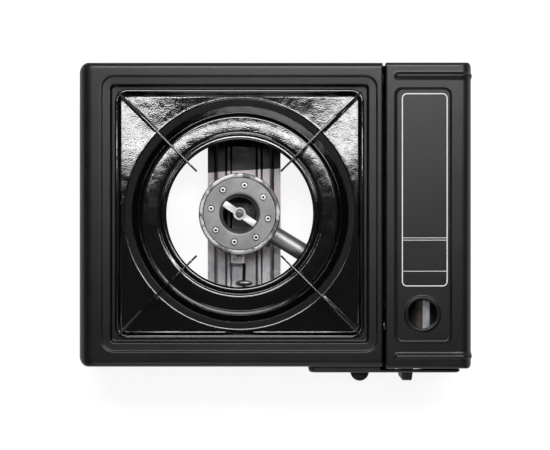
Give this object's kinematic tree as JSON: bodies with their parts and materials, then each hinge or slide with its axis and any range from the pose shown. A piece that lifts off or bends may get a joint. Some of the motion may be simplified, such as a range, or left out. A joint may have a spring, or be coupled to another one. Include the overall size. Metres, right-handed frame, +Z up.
{
  "type": "butane cassette stove",
  "caption": "Portable gas stove: square drip pan with pot supports over a round burner, with a lidded bay for a butane cartridge, a control knob and a lock lever.",
  "frame": {"origin": "on the table, under the middle of the stove's overall box", "axes": "+X to the right (cartridge side), +Y to the rear, away from the knob, +Z up"},
  "size_m": [0.345, 0.283, 0.112],
  "materials": {
    "black_painted_steel": "satin black baked paint on pressed steel sheet",
    "black_enamel": "gloss black vitreous enamel with a slight orange peel",
    "galvanised_steel": "bright zinc-coated sheet",
    "cast_aluminium": "matte as cast and blasted",
    "machined_aluminium": "bright turned ring",
    "zinc_casting": "die-cast zinc alloy, darkened",
    "bright_steel": "plated steel",
    "brass": "turned",
    "black_plastic": "fine moulded texture",
    "ivory_plastic": "moulded",
    "black_rubber": "matte",
    "electrode_ceramic": "glazed"
  },
  "bodies": {
    "stove": {"body_shell": "black_painted_steel", "partition_plate": "black_painted_steel", "compartment_tray": "black_painted_steel", "cartridge_rails": "galvanised_steel", "burner_bracket": "galvanised_steel", "regulator_bracket": "galvanised_steel", "lead_clip": "galvanised_steel", "electrode_clip": "galvanised_steel", "lever_bracket": "galvanised_steel", "air_shutter": "galvanised_steel", "regulator_cover": "galvanised_steel", "burner_body": "cast_aluminium", "burner_cap": "cast_aluminium", "mixing_tube": "cast_aluminium", "burner_ring": "machined_aluminium", "regulator_body": "zinc_casting", "bracket_rivets": "bright_steel", "burner_post": "bright_steel", "cap_clamp_bar": "bright_steel", "cap_screw": "bright_steel", "regulator_screws": "bright_steel", "locating_pin": "bright_steel", "electrode_wire": "bright_steel", "lever_spring": "bright_steel", "lid_hinge_pins": "bright_steel", "panel_screws": "bright_steel", "gas_jet": "brass", "front_panel": "black_plastic", "igniter_body": "black_plastic", "foot_rear_left": "black_rubber", "foot_rear_right": "black_rubber", "foot_front_left": "black_rubber", "foot_front_right": "black_rubber", "inlet_seal": "black_rubber", "lead_grommet": "black_rubber", "ignition_lead": "black_rubber", "electrode_ceramic": "electrode_ceramic"},
    "lid": {"cartridge_lid": "black_painted_steel"},
    "knob": {"control_knob": "black_plastic", "valve_spindle": "bright_steel", "ignition_cam": "ivory_plastic"},
    "lever": {"lock_lever": "galvanised_steel", "lever_tab": "black_plastic", "lever_shaft": "bright_steel", "lever_crank": "galvanised_steel"},
    "carrier": {"cartridge_carrier": "galvanised_steel", "carrier_spring": "bright_steel"},
    "pan": {"drip_pan": "black_enamel", "pan_support_rear_left": "black_enamel", "pan_support_rear_right": "black_enamel", "pan_support_front_left": "black_enamel", "pan_support_front_right": "black_enamel"}
  },
  "joints": [
    {"name": "lid_hinge", "type": "hinge", "parent": "stove", "child": "lid", "pos_m": [0.1011, 0, 0.0805], "axis": [0, -1, 0], "range_deg": [0, 90]},
    {"name": "knob_turn", "type": "hinge", "parent": "stove", "child": "knob", "pos_m": [0.1177, -0.125, 0.045], "axis": [0, -1, 0], "range_deg": [0, 130]},
    {"name": "lever_lock", "type": "hinge", "parent": "stove", "child": "lever", "pos_m": [0.0763, -0.095, 0.03], "axis": [1, 0, 0], "range_deg": [0, 18], "stiffness_Nm_per_rad": 0.05, "springref_deg": -28.65},
    {"name": "carrier_slide", "type": "slide", "parent": "stove", "child": "carrier", "axis": [0, -1, 0], "range_m": [0, 0.0057]},
    {"name": "pan_lift", "type": "slide", "parent": "stove", "child": "pan", "axis": [0, 0, 1], "range_m": [0, 0.06]}
  ],
  "couplings": [
    {"joint": "carrier_slide", "follows": "lever_lock", "m_per_rad": 0.018}
  ]
}
